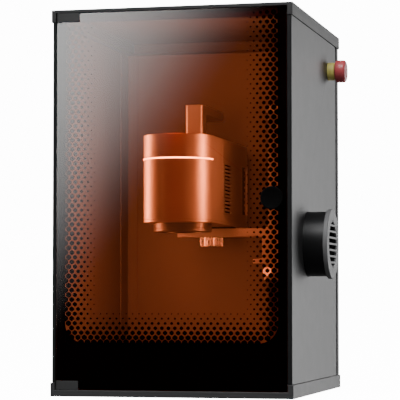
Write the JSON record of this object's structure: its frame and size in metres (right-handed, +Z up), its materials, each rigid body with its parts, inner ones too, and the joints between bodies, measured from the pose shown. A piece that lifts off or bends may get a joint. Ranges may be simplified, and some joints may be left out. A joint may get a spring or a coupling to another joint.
{
  "type": "desktop laser cutter",
  "caption": "Enclosed desktop laser cutter: tinted hinged door with a corner-clip hinge, round-fronted laser head on a screw-lifted stand, side exhaust duct and emergency stop.",
  "frame": {"origin": "on the table, under the middle of the bounding box's footprint, which takes in the duct's end on the right and the door's pull in front", "axes": "-Y is the door's side, +X is the machine's right side seen from the front, with the duct, and +Z is up"},
  "size_m": [0.426, 0.434, 0.61],
  "materials": {
    "moulded_grey": "fine moulded texture",
    "panel_grey": "satin powder coat",
    "post_black": "satin black coat",
    "hinge_black": "fine moulded texture",
    "pull_black": "flat black",
    "black_rubber": "matte",
    "door_acrylic": "clear orange tint with a printed black border",
    "light_white": "frosted",
    "steel": "ground",
    "chrome": "polished",
    "brass": "machined",
    "stop_yellow": "semi-gloss",
    "stop_red": "semi-gloss",
    "duct_black": "satin",
    "duct_grey": "satin",
    "fan_black": "satin",
    "stand_black": "anodised black",
    "bed_aluminium": "bead blasted",
    "arm_silver": "bead blasted",
    "head_silver": "bead blasted, clear anodised",
    "collar_grey": "grey anodised, turned",
    "ring_white": "frosted white",
    "lens_glass": "coated",
    "mirror_glass": "polished"
  },
  "bodies": {
    "cabinet": {"base_tray": "moulded_grey", "top_cover": "moulded_grey", "left_panel": "panel_grey", "right_panel": "panel_grey", "rear_panel": "panel_grey", "front_left_post": "post_black", "front_right_post": "post_black", "rear_left_post": "panel_grey", "rear_right_post": "panel_grey", "foot_front_left": "black_rubber", "foot_front_right": "black_rubber", "foot_rear_left": "black_rubber", "foot_rear_right": "black_rubber", "hinge_pin_upper": "steel", "hinge_pin_lower": "steel", "catch_bracket": "post_black", "catch_magnet": "chrome", "door_seal": "black_rubber", "chamber_light": "light_white", "estop_collar": "stop_yellow", "estop_body": "fan_black", "estop_nut": "steel", "duct_tube": "duct_black", "duct_cap": "duct_grey", "exhaust_fan_frame": "fan_black", "cable_grommet": "black_rubber", "stand_base": "stand_black", "work_bed": "bed_aluminium", "column": "bed_aluminium", "column_cap": "arm_silver"},
    "door": {"door_panel": "door_acrylic", "hinge_plate_upper": "hinge_black", "hinge_plate_lower": "hinge_black", "door_pull": "pull_black", "door_strike": "steel"},
    "estop_plunger": {"estop_plunger": "stop_red"},
    "estop_button": {"estop_button": "stop_red"},
    "exhaust_fan": {"exhaust_fan_rotor": "fan_black"},
    "lift": {"carriage": "arm_silver", "lead_nut": "brass", "arm_bracket": "arm_silver", "mount_plate": "black_rubber", "head_base_plate": "head_silver", "head_front_shell": "head_silver", "light_ring": "ring_white", "head_rear_housing": "head_silver", "head_rear_cover": "head_silver", "handle": "head_silver", "lens_collar": "collar_grey", "scan_lens": "lens_glass", "galvo_block": "bed_aluminium", "laser_module": "bed_aluminium", "fan_shroud": "fan_black"},
    "lead_screw": {"lead_screw": "steel", "height_knob": "fan_black"},
    "lock_knob": {"lock_knob": "chrome"},
    "clamp_knob": {"clamp_knob": "chrome"},
    "galvo_x": {"galvo_mirror_x": "mirror_glass"},
    "galvo_y": {"galvo_mirror_y": "mirror_glass"},
    "cooling_fan": {"cooling_fan_rotor": "fan_black"}
  },
  "joints": [
    {"name": "door_hinge", "type": "hinge", "parent": "cabinet", "child": "door", "pos_m": [-0.201, -0.209, 0.305], "axis": [0, 0, -1], "range_deg": [0, 100]},
    {"name": "estop_press", "type": "slide", "parent": "cabinet", "child": "estop_plunger", "axis": [-1, 0, 0], "range_m": [0, 0.0045], "stiffness_N_per_m": 2000},
    {"name": "estop_twist", "type": "hinge", "parent": "estop_plunger", "child": "estop_button", "pos_m": [0.2043, 0.115, 0.5393], "axis": [-1, 0, 0], "range_deg": [0, 40], "stiffness_Nm_per_rad": 0.05},
    {"name": "exhaust_fan_spin", "type": "hinge", "parent": "cabinet", "child": "exhaust_fan", "pos_m": [0.1543, -0.074, 0.241], "axis": [1, 0, 0], "continuous": true},
    {"name": "lift_slide", "type": "slide", "parent": "cabinet", "child": "lift", "axis": [0, 0, 1], "range_m": [-0.13, 0.09]},
    {"name": "lead_screw_turn", "type": "hinge", "parent": "cabinet", "child": "lead_screw", "pos_m": [0.0933, 0.145, 0.47], "axis": [0, 0, 1], "range_deg": [-4060, 5860]},
    {"name": "lock_knob_turn", "type": "hinge", "parent": "lift", "child": "lock_knob", "pos_m": [0.0773, 0.062, 0.1996], "axis": [0, -1, 0], "range_deg": [0, 360]},
    {"name": "clamp_knob_turn", "type": "hinge", "parent": "lift", "child": "clamp_knob", "pos_m": [-0.0245, 0.09, 0.2425], "axis": [0, 0, -1], "range_deg": [0, 360]},
    {"name": "galvo_x_turn", "type": "hinge", "parent": "lift", "child": "galvo_x", "pos_m": [-0.056, -0.074, 0.3177], "axis": [0, 0, 1], "range_deg": [-12, 12]},
    {"name": "galvo_y_turn", "type": "hinge", "parent": "lift", "child": "galvo_y", "pos_m": [-0.034, -0.0613, 0.305], "axis": [0, 1, 0], "range_deg": [-12, 12]},
    {"name": "cooling_fan_spin", "type": "hinge", "parent": "lift", "child": "cooling_fan", "pos_m": [-0.034, 0.116, 0.339], "axis": [0, 1, 0], "continuous": true}
  ],
  "couplings": [
    {"joint": "lead_screw_turn", "follows": "lift_slide", "rad_per_m": -785.4}
  ]
}
